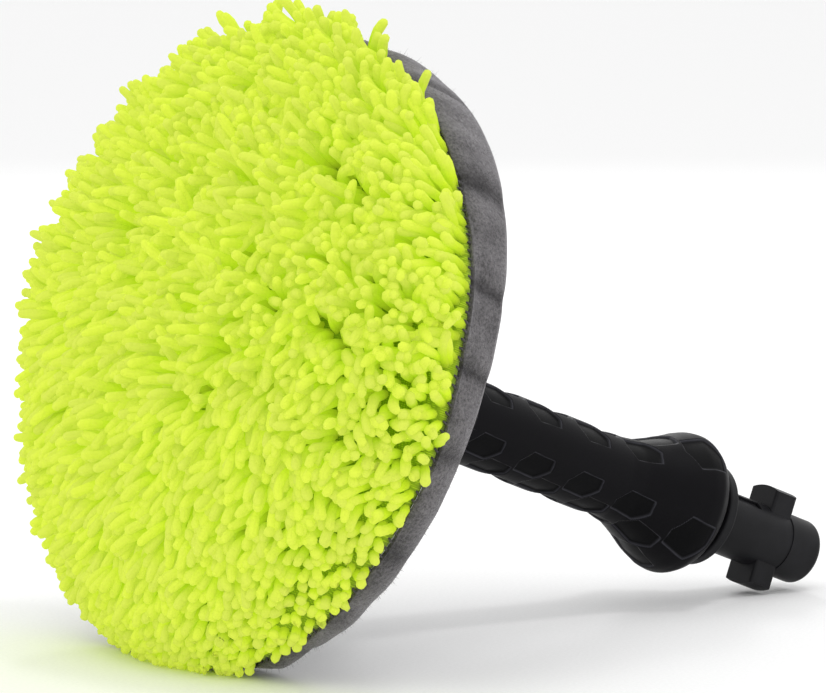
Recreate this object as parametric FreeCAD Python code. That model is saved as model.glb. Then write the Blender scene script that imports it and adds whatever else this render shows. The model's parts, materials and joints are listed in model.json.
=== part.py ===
import FreeCAD, Part

import math
import os

# Rotary wash brush: a water-driven chenille mop head on a short handle with a bayonet plug.
# Each piece is drawn about the spin axis: Z runs from the mop's face to the plug, with Z = 0 at
# the seam of the bonnet, and X points up. place() then lays the brush down, leaning on its rim
# and its plug, with the floor at Z = 0. Sizes are in millimetres.

V = FreeCAD.Vector
AXIS = V(0, 0, 1)

# Clearances
GLUE_GAP = 0.05         # between pieces that are pressed, glued or screwed together
RUNNING_GAP = 0.05      # radial, shaft or pin in its bush
MOVING_GAP = 0.6        # between pieces that pass each other freely

# Bonnet and mop head
SEAM_RADIUS = 94.0      # where the chenille face meets the side band
BAND_RADIUS = 98.0      # outside of the plush side band
BAND_DEPTH = 13.0
BAND_WIDEST = 5.0       # the band bulges most this far behind the seam
BAND_ROUND = 6.0
HEM_DEPTH = 4.0
HEM_WALL = 6.0
PILE_RADIUS = 103.0     # tips of the chenille at the rim
PILE_HEIGHT = 40.0      # tips of the chenille at the centre, ahead of the seam
PILE_BACK = 8.0         # the pile is widest this far ahead of the seam
PILE_SQUARENESS = 2.6   # exponent of the pile's rounded outline
BACKING_WALL = 1.5
FOAM_RADIUS = 92.0
FOAM_CROWN = 18.0       # foam face at the centre, ahead of the seam
FOAM_EDGE = 2.0
FOAM_BACK = 3.0

# Brush plate
PLATE_RADIUS = 90.0
PLATE_WALL = 4.0
PLATE_SKIRT = 7.5       # depth of the rim behind the plate's face
SKIRT_WALL = 2.5
RIB_COUNT = 12
RIB_WALL = 2.0
RIB_HEIGHT = 3.0
HUB_RADIUS = 12.0
HUB_LENGTH = 9.0
WELL_DEPTH = 4.0        # room in the foam ahead of the stub axle, for the screw's head
DRAIN_COUNT = 6
DRAIN_RADIUS = 2.0
DRAIN_CIRCLE = 17.0

# Gear train: turbine pinion, three stepped idlers, ring gear on the plate
MODULE = 1.0
SUN_TEETH = 12
IDLER_TEETH = 30
PINION_TEETH = 12
IDLER_COUNT = 3
PRESSURE_ANGLE = math.radians(20)
BACKLASH = 0.16         # taken off each tooth at its pitch circle
ADDENDUM = 0.8
DEDENDUM = 1.15
GEAR_WIDTH = 5.0
RING_WIDTH = 10.0
RING_WALL = 3.6
RING_FLANGE = 6.0
RING_FLANGE_WALL = 2.0
RING_SCREWS = 4
PIN_RADIUS = 1.75
IDLER_CIRCLE = MODULE * (SUN_TEETH + IDLER_TEETH) / 2
RING_TEETH = round(2 * IDLER_CIRCLE / MODULE) + PINION_TEETH

# Bearings and shaft
SHAFT_RADIUS = 2.0
BUSH_WALL = 1.5
AXLE_RADIUS = 5.0       # stub axle that carries the brush plate
HUB_BUSH_WALL = 1.5
BEARING_PLATE_RADIUS = 24.0
BEARING_PLATE_WALL = 3.0
PILLAR_RADIUS = 3.2
SCREW_RADIUS = 1.25
SCREW_HEAD = 2.4
SCREW_HEAD_HEIGHT = 1.6
PARTITION_WALL = 3.0

# Turbine
WHEEL_RADIUS = 19.0
WHEEL_WIDTH = 9.0
WHEEL_HUB = 7.0
BLADE_COUNT = 12
BLADE_WALL = 1.2
JET_COUNT = 2
JET_RADIUS = 1.1

# Housing behind the plate
HOUSING_RADIUS = 43.0
HOUSING_WALL = 2.5
HOUSING_SHOULDER = 34.0     # Z where the drum turns into the cone
CONE_END = 56.0
NECK_RADIUS = 16.5
NECK_END = 74.0
SEAL_WIDTH = 3.0

# Handle
CORE_RADIUS = 11.0
CORE_BORE = 8.0
GRIP_RADIUS = 13.25
GRIP_START = 74.4
BULB_START = 142.0
BULB_PEAK = 172.0
BULB_RADIUS = 23.0
GRIP_END = 178.6
GRIP_END_RADIUS = 15.6
CELL_DEPTH = 0.8
CELL_PITCH = 20.6       # along a row of honeycomb cells
CELL_SHIFT = 7.6        # each row starts this much further along
ROW_ANGLE = 32.0
BAND_ANGLE = 80.0       # middle of a smooth band, from straight up round to the side
FIRST_ROW = 41.5        # from the middle of a smooth band to the first row of cells
ROWS_EACH_WAY = 4
FIRST_CELL = 84.3      # middle of the first cell of a first row
LAST_CELL = 172.0
CELL_SCALE = 1.12

# Bayonet plug
PLUG_RADIUS = 10.5
PLUG_NECK_RADIUS = 10.2
PLUG_END = 228.0
PLUG_FILLET = 2.0
PLUG_BORE = 4.5
FLANGE_RADIUS = 16.8
FLANGE_START = 180.4
FLANGE_WALL = 3.6
LUG_RADIUS = 16.5
LUG_WIDTH = 13.0
LUG_START = 206.0
LUG_WALL = 9.0
STUB_RADIUS = 7.9
STUB_START = 160.0
SLOT_LENGTH = 11.0
SLOT_WIDTH = 3.4
SLOT_DEPTH = 1.0
SLOT_CENTRE = 196.0
SLOT_ANGLE = 33.0
TUBE_RADIUS = 6.0
TUBE_BORE = 4.0
O_RING = 0.8            # section radius of the O-rings

PLATE_FRONT = FOAM_BACK + GLUE_GAP
PLATE_BACK = PLATE_FRONT + PLATE_WALL
RING_START = PLATE_BACK + GLUE_GAP
RING_END = RING_START + RING_WIDTH
BEARING_START = PLATE_BACK + SCREW_HEAD_HEIGHT + GLUE_GAP + MOVING_GAP
BEARING_END = BEARING_START + BEARING_PLATE_WALL
IDLER_START = RING_END + MOVING_GAP
IDLER_END = IDLER_START + GEAR_WIDTH
PARTITION_START = IDLER_END + MOVING_GAP
PARTITION_END = PARTITION_START + PARTITION_WALL
WHEEL_START = PARTITION_END + 1.5
WHEEL_END = WHEEL_START + WHEEL_WIDTH
NOZZLE_START = WHEEL_END + 1.5
NOZZLE_END = NOZZLE_START + 9.0
HOUSING_START = PLATE_BACK + 2.5
INNER_SHOULDER = HOUSING_SHOULDER - 1.0
CORE_START = CONE_END + 1.0
NECK_SCREW_Z = 66.0
SCREW_SEAT = NECK_RADIUS - 1.2
AXLE_END = PLATE_FRONT - 5.0


def ring(outer, inner, start, end):
    """Plain tube about the axis."""
    body = Part.makeCylinder(outer, end - start, V(0, 0, start))
    if inner > 0:
        body = body.cut(Part.makeCylinder(inner, end - start, V(0, 0, start)))
    return body


def at(radius, angle, z):
    """Point at a radius and an angle in degrees, counted from straight up."""
    turn = math.radians(angle)
    return V(radius * math.cos(turn), radius * math.sin(turn), z)


def spun(points):
    """Solid of revolution from a closed outline of (radius, z) points."""
    outline = [V(radius, 0, z) for radius, z in points]
    face = Part.Face(Part.makePolygon(outline + outline[:1]))
    return face.revolve(V(0, 0, 0), AXIS, 360)


def spun_curve(curve, closing):
    """Solid of revolution from a smooth run of (radius, z) points, closed by straight ones."""
    spline = Part.BSplineCurve()
    spline.interpolate([V(radius, 0, z) for radius, z in curve])
    straight = [curve[-1]] + closing + [curve[0]]
    path = Part.makePolygon([V(radius, 0, z) for radius, z in straight])
    face = Part.Face(Part.Wire([spline.toShape()] + path.Edges))
    return face.revolve(V(0, 0, 0), AXIS, 360)


def around(shape, count, start=0.0):
    """The same shape repeated about the axis."""
    copies = []
    for step in range(count):
        copy = shape.copy()
        copy.rotate(V(0, 0, 0), AXIS, start + 360.0 * step / count)
        copies.append(copy)
    return copies


def fused(shapes):
    body = shapes[0].multiFuse(shapes[1:])
    return body.removeSplitter()


def o_ring(radius, z):
    return Part.makeTorus(radius, O_RING, V(0, 0, z))


def screw(x, y, head_z, length, downwards):
    """Pan-head screw along the axis with a cross recess; its head faces -Z unless downwards."""
    sign = -1 if downwards else 1
    direction = V(0, 0, sign)
    head = Part.makeCylinder(SCREW_HEAD, SCREW_HEAD_HEIGHT, V(x, y, head_z), direction)
    tip = V(x, y, head_z + sign * SCREW_HEAD_HEIGHT)
    shank = Part.makeCylinder(SCREW_RADIUS, length, tip, direction)
    bodies = head.fuse(shank).removeSplitter()
    low = min(head_z, head_z + sign * 0.9)
    for wide, tall in ((2.8, 0.6), (0.6, 2.8)):
        bodies = bodies.cut(Part.makeBox(wide, tall, 0.9, V(x - wide / 2, y - tall / 2, low)))
    return bodies


def dome(radius, height, edge_z, squareness, steps=9):
    """Rounded outline from the centre to the rim: a flattened ellipse."""
    points = []
    for step in range(steps):
        turn = math.pi / 2 * step / (steps - 1)
        out = radius * math.sin(turn) ** (2 / squareness)
        rise = height * math.cos(turn) ** (2 / squareness)
        points.append((out, edge_z - rise))
    return points


def involute_gear(teeth, width, start, thin, addendum, dedendum):
    """External gear with involute flanks; thin is taken off each tooth."""
    pitch = MODULE * teeth / 2
    base = pitch * math.cos(PRESSURE_ANGLE)
    tip = pitch + addendum * MODULE
    root = pitch - dedendum * MODULE
    half = math.pi / (2 * teeth) - thin / (2 * pitch)
    roll = math.tan(PRESSURE_ANGLE) - PRESSURE_ANGLE
    flank = []
    for step in range(5):
        radius = max(base, root) + (tip - max(base, root)) * step / 4
        slope = math.acos(base / radius)
        flank.append((radius, half + roll - (math.tan(slope) - slope)))
    foot = flank[0][1]
    flank.insert(0, (root, foot))
    outline = []
    for tooth in range(teeth):
        middle = 2 * math.pi * tooth / teeth
        for radius, turn in flank:
            outline.append(at(radius, math.degrees(middle - turn), start))
        for radius, turn in reversed(flank):
            outline.append(at(radius, math.degrees(middle + turn), start))
    face = Part.Face(Part.makePolygon(outline + outline[:1]))
    return face.extrude(V(0, 0, width))


# Bonnet ---------------------------------------------------------------------------------------

def foam_outline(offset):
    return dome(FOAM_RADIUS + offset, FOAM_CROWN - FOAM_EDGE + offset, -FOAM_EDGE, PILE_SQUARENESS)


def foam_pad():
    """Soft core between the plate and the bonnet, hollowed for the plate's centre screw."""
    body = spun_curve(foam_outline(0), [(FOAM_RADIUS, FOAM_BACK), (0, FOAM_BACK)])
    well = ring(HUB_RADIUS + 1.0, 0, AXLE_END - WELL_DEPTH, FOAM_BACK)
    return body.cut(well)


def bonnet_backing():
    """Woven base cloth of the chenille, drawn over the foam."""
    outer = spun_curve(foam_outline(GLUE_GAP + BACKING_WALL),
                       [(FOAM_RADIUS + GLUE_GAP + BACKING_WALL, 0), (0, 0)])
    inner = spun_curve(foam_outline(GLUE_GAP), [(FOAM_RADIUS + GLUE_GAP, 1), (0, 1)])
    return outer.cut(inner)


def chenille_pile():
    """Space that the chenille tufts fill, from the base cloth to their tips."""
    skin = GLUE_GAP * 2 + BACKING_WALL
    tips = dome(PILE_RADIUS, PILE_HEIGHT - PILE_BACK, -PILE_BACK, PILE_SQUARENESS)
    closing = [(PILE_RADIUS - 1.0, -1.0), (FOAM_RADIUS + skin, -0.1), (0, -0.1)]
    outer = spun_curve(tips, closing)
    inner = spun_curve(foam_outline(skin), [(FOAM_RADIUS + skin, 1), (0, 1)])
    return outer.cut(inner)


def side_band():
    """Plush band sewn to the face and drawn over the rim of the plate."""
    inner = FOAM_RADIUS + BACKING_WALL + 3 * GLUE_GAP
    back = BAND_DEPTH
    outer_line = [(SEAM_RADIUS + 1.5, 0.0), (BAND_RADIUS, BAND_WIDEST),
                  (BAND_RADIUS - BAND_ROUND / 3, (BAND_WIDEST + back) / 2 + 0.5),
                  (BAND_RADIUS - BAND_ROUND, back)]
    closing = [(PLATE_RADIUS + GLUE_GAP, back), (inner, PLATE_FRONT), (inner, 0.0)]
    return spun_curve(outer_line, closing)


def elastic_hem():
    """Elasticated hem that holds the bonnet on, gathered behind the plate's rim."""
    outer = BAND_RADIUS - BAND_ROUND
    start = BAND_DEPTH + GLUE_GAP
    end = start + HEM_DEPTH
    return spun_curve([(outer - 1.0, start), (outer, start + HEM_DEPTH / 2), (outer - 2.0, end)],
                      [(outer - HEM_WALL, end), (outer - HEM_WALL, start)])


# Brush plate ----------------------------------------------------------------------------------

def brush_plate():
    """Moulded plate that carries the bonnet, ribbed behind, with a hub and water holes."""
    disc = ring(PLATE_RADIUS, 0, PLATE_FRONT, PLATE_BACK)
    skirt = ring(PLATE_RADIUS, PLATE_RADIUS - SKIRT_WALL, PLATE_FRONT, PLATE_FRONT + PLATE_SKIRT)
    hub = ring(HUB_RADIUS, 0, PLATE_BACK - HUB_LENGTH, PLATE_BACK)
    rib_start = HOUSING_RADIUS + MOVING_GAP + SEAL_WIDTH + 1.0
    collar = ring(rib_start + 2.0, rib_start, PLATE_FRONT, PLATE_BACK + RIB_HEIGHT)
    reach = PLATE_RADIUS - SKIRT_WALL / 2 - rib_start - 1.0
    rib = Part.makeBox(reach, RIB_WALL, PLATE_WALL + RIB_HEIGHT,
                       V(rib_start + 1.0, -RIB_WALL / 2, PLATE_FRONT))
    body = fused([disc, skirt, hub, collar] + around(rib, RIB_COUNT))
    body = body.cut(ring(AXLE_RADIUS + RUNNING_GAP + HUB_BUSH_WALL + GLUE_GAP, 0,
                         PLATE_BACK - HUB_LENGTH, PLATE_BACK))
    for turn in range(DRAIN_COUNT):
        spot = at(DRAIN_CIRCLE, 360.0 * turn / DRAIN_COUNT + 30, PLATE_FRONT)
        body = body.cut(Part.makeCylinder(DRAIN_RADIUS, PLATE_WALL, spot))
    for spot in ring_screw_spots(PLATE_FRONT):
        body = body.cut(Part.makeCylinder(SCREW_RADIUS + GLUE_GAP, PLATE_WALL, spot))
    return body


def ring_screw_spots(z):
    pitch = MODULE * RING_TEETH / 2
    circle = pitch + DEDENDUM + RING_WALL + RING_FLANGE / 2
    return [at(circle, 360.0 * turn / RING_SCREWS + 45, z) for turn in range(RING_SCREWS)]


def hub_bush():
    """Bearing bush of the plate, with a collar in front."""
    inner = AXLE_RADIUS + RUNNING_GAP
    return ring(inner + HUB_BUSH_WALL, inner, PLATE_BACK - HUB_LENGTH, PLATE_BACK)


def ring_gear():
    """Internal gear, flanged and screwed to the back of the plate."""
    outer = MODULE * RING_TEETH / 2 + DEDENDUM * MODULE + RING_WALL
    body = ring(outer, 0, RING_START, RING_END)
    flange = ring(outer + RING_FLANGE, 0, RING_START, RING_START + RING_FLANGE_WALL)
    body = body.fuse(flange)
    space = involute_gear(RING_TEETH, RING_WIDTH, RING_START, -BACKLASH, DEDENDUM, ADDENDUM)
    body = body.cut(space)
    for spot in ring_screw_spots(RING_START):
        body = body.cut(Part.makeCylinder(SCREW_RADIUS + GLUE_GAP, RING_FLANGE_WALL, spot))
    return body


def ring_gear_screws():
    head_z = RING_START + RING_FLANGE_WALL + GLUE_GAP + SCREW_HEAD_HEIGHT
    length = RING_FLANGE_WALL + PLATE_WALL - 0.5
    return [screw(spot.x, spot.y, head_z, length, True) for spot in ring_screw_spots(0)]


# Turbine --------------------------------------------------------------------------------------

def turbine_shaft():
    return ring(SHAFT_RADIUS, 0, BEARING_START + 0.3, NOZZLE_START + 6.0)


def turbine_wheel():
    """Paddle wheel turned by the jets, with a flat web and curved-in blades."""
    hub = ring(WHEEL_HUB, 0, WHEEL_START, WHEEL_END)
    web = ring(WHEEL_RADIUS, 0, WHEEL_START, WHEEL_START + 1.5)
    blade = Part.makeBox(WHEEL_RADIUS - WHEEL_HUB + 1.0, BLADE_WALL, WHEEL_WIDTH,
                         V(WHEEL_HUB - 1.5, -BLADE_WALL / 2, WHEEL_START))
    body = fused([hub, web] + around(blade, BLADE_COUNT))
    return body.cut(ring(SHAFT_RADIUS + GLUE_GAP, 0, WHEEL_START, WHEEL_END))


def sun_pinion():
    body = involute_gear(SUN_TEETH, GEAR_WIDTH, IDLER_START, BACKLASH, ADDENDUM, DEDENDUM)
    return body.cut(ring(SHAFT_RADIUS + GLUE_GAP, 0, IDLER_START, IDLER_END))


def idler_gear():
    """Stepped gear: the wide part meets the turbine pinion, the narrow one the ring gear."""
    wide = involute_gear(IDLER_TEETH, GEAR_WIDTH, IDLER_START, BACKLASH, ADDENDUM, DEDENDUM)
    wide.rotate(V(0, 0, 0), AXIS, 180.0 + 180.0 / IDLER_TEETH)
    step_start = BEARING_END + MOVING_GAP
    narrow = involute_gear(PINION_TEETH, IDLER_START - step_start, step_start, BACKLASH,
                           ADDENDUM, DEDENDUM)
    body = wide.fuse(narrow).removeSplitter()
    body = body.cut(ring(PIN_RADIUS + RUNNING_GAP, 0, step_start, IDLER_END))
    body.translate(V(IDLER_CIRCLE, 0, 0))
    return body


def idler_pins():
    pin = Part.makeCylinder(PIN_RADIUS, PARTITION_END - 0.5 - BEARING_START - 0.5,
                            V(IDLER_CIRCLE, 0, BEARING_START + 0.5))
    return around(pin, IDLER_COUNT)


# Fixed works in the housing -------------------------------------------------------------------

def bearing_plate():
    """Front plate of the gearbox: stub axle, idler pin sockets and three pillars."""
    disc = ring(BEARING_PLATE_RADIUS, 0, BEARING_START, BEARING_END)
    axle = ring(AXLE_RADIUS, 0, AXLE_END, BEARING_START)
    pillar = Part.makeCylinder(PILLAR_RADIUS, PARTITION_START - GLUE_GAP - BEARING_START,
                               V(IDLER_CIRCLE, 0, BEARING_START))
    body = fused([disc, axle] + around(pillar, IDLER_COUNT, 180.0 / IDLER_COUNT))
    body = body.cut(ring(SCREW_RADIUS + GLUE_GAP, 0, AXLE_END, BEARING_START - 1.0))
    seat = SHAFT_RADIUS + RUNNING_GAP + BUSH_WALL + GLUE_GAP
    body = body.cut(ring(seat, 0, BEARING_START, BEARING_END))
    for turn in range(IDLER_COUNT):
        pin = at(IDLER_CIRCLE, 360.0 * turn / IDLER_COUNT, BEARING_START)
        body = body.cut(Part.makeCylinder(PIN_RADIUS + GLUE_GAP, BEARING_PLATE_WALL, pin))
        hole = at(IDLER_CIRCLE, 360.0 * (turn + 0.5) / IDLER_COUNT, BEARING_START)
        length = PARTITION_START - BEARING_START
        body = body.cut(Part.makeCylinder(SCREW_RADIUS + GLUE_GAP, length, hole))
    return body


def gearbox_screws():
    """Long screws through the pillars into the partition."""
    bodies = []
    for turn in range(IDLER_COUNT):
        spot = at(IDLER_CIRCLE, 360.0 * (turn + 0.5) / IDLER_COUNT, 0)
        head_z = BEARING_START - SCREW_HEAD_HEIGHT - GLUE_GAP
        length = PARTITION_END - BEARING_START - 0.5
        bodies.append(screw(spot.x, spot.y, head_z, length, False))
    return bodies


def partition_plate():
    """Wall between the gears and the turbine, holding the idler pins."""
    outer = HOUSING_RADIUS - HOUSING_WALL - GLUE_GAP
    body = ring(outer, SHAFT_RADIUS + MOVING_GAP, PARTITION_START, PARTITION_END)
    for turn in range(IDLER_COUNT):
        pin = at(IDLER_CIRCLE, 360.0 * turn / IDLER_COUNT, PARTITION_START)
        body = body.cut(Part.makeCylinder(PIN_RADIUS + GLUE_GAP, PARTITION_WALL, pin))
        hole = at(IDLER_CIRCLE, 360.0 * (turn + 0.5) / IDLER_COUNT, PARTITION_START)
        body = body.cut(Part.makeCylinder(SCREW_RADIUS + GLUE_GAP, PARTITION_WALL, hole))
        slot = at(IDLER_CIRCLE + 11.0, 360.0 * (turn + 0.5) / IDLER_COUNT, PARTITION_START)
        body = body.cut(Part.makeCylinder(4.0, PARTITION_WALL, slot))
    return body


def housing_inner(z):
    """Inside radius of the housing's cone at a height."""
    share = (z - INNER_SHOULDER) / (CONE_END - HOUSING_SHOULDER)
    share = min(max(share, 0.0), 1.0)
    return HOUSING_RADIUS + (NECK_RADIUS - HOUSING_RADIUS) * share - HOUSING_WALL


def gear_housing():
    """Bell that covers the gears and the turbine and holds the handle in its neck."""
    outer = [(HOUSING_RADIUS, HOUSING_START), (HOUSING_RADIUS, HOUSING_SHOULDER),
             (NECK_RADIUS, CONE_END), (NECK_RADIUS, NECK_END)]
    cone_top = INNER_SHOULDER + CONE_END - HOUSING_SHOULDER
    inner = [(CORE_RADIUS + GLUE_GAP, NECK_END), (CORE_RADIUS + GLUE_GAP, CORE_START),
             (housing_inner(cone_top), cone_top),
             (housing_inner(INNER_SHOULDER), INNER_SHOULDER),
             (housing_inner(INNER_SHOULDER), HOUSING_START)]
    body = spun(outer + inner)
    for direction in neck_screw_directions():
        seat = direction * SCREW_SEAT + V(0, 0, NECK_SCREW_Z)
        body = body.cut(Part.makeCylinder(SCREW_HEAD + 0.3, 5.0, seat, direction))
    return body.cut(neck_screw_holes())


def neck_screw_directions():
    return [at(1.0, 90.0, 0), at(1.0, 270.0, 0)]


def neck_screw_holes():
    """Round holes for the two screws, through the neck and the core."""
    holes = []
    for direction in neck_screw_directions():
        start = direction * (CORE_BORE - 1.0) + V(0, 0, NECK_SCREW_Z)
        holes.append(Part.makeCylinder(SCREW_RADIUS + GLUE_GAP, NECK_RADIUS, start, direction))
    return Part.makeCompound(holes)


def neck_screws():
    """Two screws that pin the handle's core in the housing's neck."""
    bodies = []
    for turn in range(2):
        body = screw(0, 0, 0, SCREW_SEAT - CORE_BORE - 0.5, False)
        body.rotate(V(0, 0, 0), V(0, 1, 0), -90.0)
        body.translate(V(SCREW_SEAT + SCREW_HEAD_HEIGHT + GLUE_GAP, 0, NECK_SCREW_Z))
        body.rotate(V(0, 0, 0), AXIS, 90.0 + 180.0 * turn)
        bodies.append(body)
    return bodies


def lip_seal():
    """Rubber ring that keeps grit out of the gap between housing and plate."""
    inner = HOUSING_RADIUS + GLUE_GAP
    start = HOUSING_START
    body = spun([(inner, start), (inner + SEAL_WIDTH - 0.6, start - 1.6),
                 (inner + SEAL_WIDTH, start - 1.2), (inner + 1.4, start + 1.0),
                 (inner + 1.4, start + 5.0), (inner, start + 5.0)])
    return body


def nozzle_body():
    """Block that feeds the water in through slanted jets and carries the shaft's rear bush."""
    body = spun([(0, NOZZLE_START), (housing_inner(NOZZLE_START) - 2 * GLUE_GAP, NOZZLE_START),
                 (housing_inner(NOZZLE_END) - 2 * GLUE_GAP, NOZZLE_END), (0, NOZZLE_END)])
    body = body.cut(ring(TUBE_RADIUS + GLUE_GAP, 0, NOZZLE_END - 2.5, NOZZLE_END))
    seat = SHAFT_RADIUS + RUNNING_GAP + BUSH_WALL + GLUE_GAP
    body = body.cut(ring(seat, 0, NOZZLE_START, NOZZLE_START + 6.2))
    for turn in range(JET_COUNT):
        start = at(TUBE_BORE - 1.0, 180.0 * turn, NOZZLE_END - 2.0)
        end = at(WHEEL_RADIUS - 4.0, 180.0 * turn + 25.0, NOZZLE_START - 0.5)
        run = end.sub(start)
        body = body.cut(Part.makeCylinder(JET_RADIUS, run.Length, start, run))
    return body


def shaft_bush(start, length):
    inner = SHAFT_RADIUS + RUNNING_GAP
    return ring(inner + BUSH_WALL, inner, start, start + length)


def retaining_washer():
    outer = AXLE_RADIUS + HUB_BUSH_WALL + 2.5
    return ring(outer, SCREW_RADIUS + GLUE_GAP, AXLE_END - 1.0 - GLUE_GAP, AXLE_END - GLUE_GAP)


def retaining_screw():
    head_z = AXLE_END - 1.0 - 2 * GLUE_GAP - SCREW_HEAD_HEIGHT
    return screw(0, 0, head_z, 8.0, False)


# Handle ---------------------------------------------------------------------------------------

def grip_core():
    """Stiff tube inside the rubber grip, from the housing's neck to the plug."""
    return ring(CORE_RADIUS, CORE_BORE, CORE_START + GLUE_GAP, GRIP_END).cut(neck_screw_holes())


def bulb_line(inset):
    """Outside of the grip from the end of its straight part, over the bulb, to its rear edge."""
    reach = BULB_PEAK - BULB_START
    swell = BULB_RADIUS - GRIP_RADIUS
    line = [(GRIP_RADIUS, BULB_START), (GRIP_RADIUS + 0.08 * swell, BULB_START + 0.2 * reach),
            (GRIP_RADIUS + 0.40 * swell, BULB_START + 0.47 * reach),
            (GRIP_RADIUS + 0.75 * swell, BULB_START + 0.70 * reach),
            (GRIP_RADIUS + 0.96 * swell, BULB_START + 0.88 * reach),
            (BULB_RADIUS, BULB_PEAK), (BULB_RADIUS - 1.7, BULB_PEAK + 3.4),
            (GRIP_END_RADIUS, GRIP_END)]
    return [(radius - inset, z) for radius, z in line]


def grip_body(inset, inner):
    straight = spun([(inner, GRIP_START), (GRIP_RADIUS - inset, GRIP_START),
                     (GRIP_RADIUS - inset, BULB_START), (inner, BULB_START)])
    bulb = spun_curve(bulb_line(inset), [(inner, GRIP_END), (inner, BULB_START)])
    return straight.fuse(bulb).removeSplitter()


def cell_cutter(angle, z, side):
    """Six-sided wedge from the axis outwards, wider as the grip swells."""
    corners = [(-5.2, -3.6), (-5.6, -0.2), (-2.4, 4.0), (5.2, 3.6), (5.6, 0.2), (2.4, -4.0)]
    wires = []
    for radius in (GRIP_RADIUS - 3.0, BULB_RADIUS + 3.0):
        points = []
        for along, across in corners:
            spread = CELL_SCALE * across * side / GRIP_RADIUS
            point = V(radius, radius * spread, z + CELL_SCALE * along)
            points.append(point)
        wires.append(Part.makePolygon(points + points[:1]))
    wedge = Part.makeLoft(wires, True, True)
    wedge.rotate(V(0, 0, 0), AXIS, angle)
    return wedge


def cell_spots():
    """(angle, z, side) of every honeycomb cell: mirrored rows on both sides of each band."""
    spots = []
    for side in (1, -1):
        for row in range(ROWS_EACH_WAY):
            angle = BAND_ANGLE + side * (FIRST_ROW + ROW_ANGLE * row)
            z = FIRST_CELL + (CELL_SHIFT * row) % CELL_PITCH
            while z < LAST_CELL:
                if z > GRIP_START + 7.0:
                    spots.append((angle, z, -side))
                z += CELL_PITCH
    return spots


def grip_sleeve():
    """Rubber grip with recessed honeycomb cells between two smooth bands."""
    inner = CORE_RADIUS + GLUE_GAP
    body = grip_body(0, inner)
    under = grip_body(CELL_DEPTH, inner)
    skin = body.cut(under)
    wedges = [cell_cutter(*spot) for spot in cell_spots()]
    recess = skin.common(Part.makeCompound(wedges))
    return body.cut(recess)


def water_tube():
    """Pipe that carries the water through the handle."""
    return ring(TUBE_RADIUS, TUBE_BORE, NOZZLE_END - 2.5 + GLUE_GAP, STUB_START + 8.0)


def tube_seal():
    return o_ring(TUBE_RADIUS + GLUE_GAP + O_RING, NOZZLE_END + O_RING + GLUE_GAP)


def bayonet_adapter():
    """Twist-lock plug: stub in the handle, flange, neck with a slot, two lugs and the nose."""
    stub = ring(STUB_RADIUS, 0, STUB_START, FLANGE_START)
    flange = ring(FLANGE_RADIUS, 0, FLANGE_START, FLANGE_START + FLANGE_WALL)
    flange = flange.makeFillet(0.8, [edge for edge in flange.Edges if edge.Length > 50])
    neck = ring(PLUG_NECK_RADIUS, 0, FLANGE_START, LUG_START + LUG_WALL)
    nose = ring(PLUG_RADIUS, 0, LUG_START + LUG_WALL, PLUG_END)
    tip = [edge for edge in nose.Edges if abs(edge.CenterOfMass.z - PLUG_END) < 0.01]
    nose = nose.makeFillet(PLUG_FILLET, tip)
    wings = Part.makeBox(2 * LUG_RADIUS, LUG_WIDTH, LUG_WALL,
                         V(-LUG_RADIUS, -LUG_WIDTH / 2, LUG_START))
    wings = wings.common(ring(LUG_RADIUS, 0, LUG_START, LUG_START + LUG_WALL))
    wings = wings.makeFillet(1.0, [edge for edge in wings.Edges if edge.Length > 9.5])
    body = fused([stub, flange, neck, nose, wings])
    slot = Part.makeBox(SLOT_DEPTH + 2.0, SLOT_WIDTH, SLOT_LENGTH,
                        V(PLUG_NECK_RADIUS - SLOT_DEPTH, -SLOT_WIDTH / 2,
                          SLOT_CENTRE - SLOT_LENGTH / 2))
    slot.rotate(V(0, 0, 0), AXIS, SLOT_ANGLE)
    body = body.cut(slot)
    body = body.cut(ring(PLUG_BORE, 0, STUB_START + 8.0, PLUG_END))
    body = body.cut(ring(TUBE_RADIUS + GLUE_GAP, 0, STUB_START, STUB_START + 8.0 + GLUE_GAP))
    groove = Part.makeTorus(STUB_RADIUS, O_RING, V(0, 0, STUB_START + 11.0))
    return body.cut(groove)


def adapter_seal():
    """O-ring in the groove of the plug's stub."""
    section = O_RING - GLUE_GAP
    body = Part.makeTorus(STUB_RADIUS, section, V(0, 0, STUB_START + 11.0))
    return body.common(ring(CORE_BORE - 0.01, 0, STUB_START, STUB_START + 20.0))


# Assembly -------------------------------------------------------------------------------------

def all_pieces():
    pieces = {
        "chenille_pile": chenille_pile(),
        "bonnet_backing": bonnet_backing(),
        "side_band": side_band(),
        "elastic_hem": elastic_hem(),
        "foam_pad": foam_pad(),
        "brush_plate": brush_plate(),
        "hub_bush": hub_bush(),
        "ring_gear": ring_gear(),
        "ring_gear_screws": Part.makeCompound(ring_gear_screws()),
        "turbine_shaft": turbine_shaft(),
        "turbine_wheel": turbine_wheel(),
        "sun_pinion": sun_pinion(),
        "idler_pins": Part.makeCompound(idler_pins()),
        "bearing_plate": bearing_plate(),
        "gearbox_screws": Part.makeCompound(gearbox_screws()),
        "partition_plate": partition_plate(),
        "front_shaft_bush": shaft_bush(BEARING_START + 0.2, BEARING_PLATE_WALL - 0.2),
        "rear_shaft_bush": shaft_bush(NOZZLE_START + 0.2, 5.0),
        "nozzle_body": nozzle_body(),
        "lip_seal": lip_seal(),
        "gear_housing": gear_housing(),
        "neck_screws": Part.makeCompound(neck_screws()),
        "retaining_washer": retaining_washer(),
        "retaining_screw": retaining_screw(),
        "grip_core": grip_core(),
        "grip_sleeve": grip_sleeve(),
        "water_tube": water_tube(),
        "tube_seal": tube_seal(),
        "bayonet_adapter": bayonet_adapter(),
        "adapter_seal": adapter_seal(),
    }
    for step, gear in enumerate(around(idler_gear(), IDLER_COUNT)):
        pieces["idler_gear_%d" % (step + 1)] = gear
    return pieces


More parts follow.
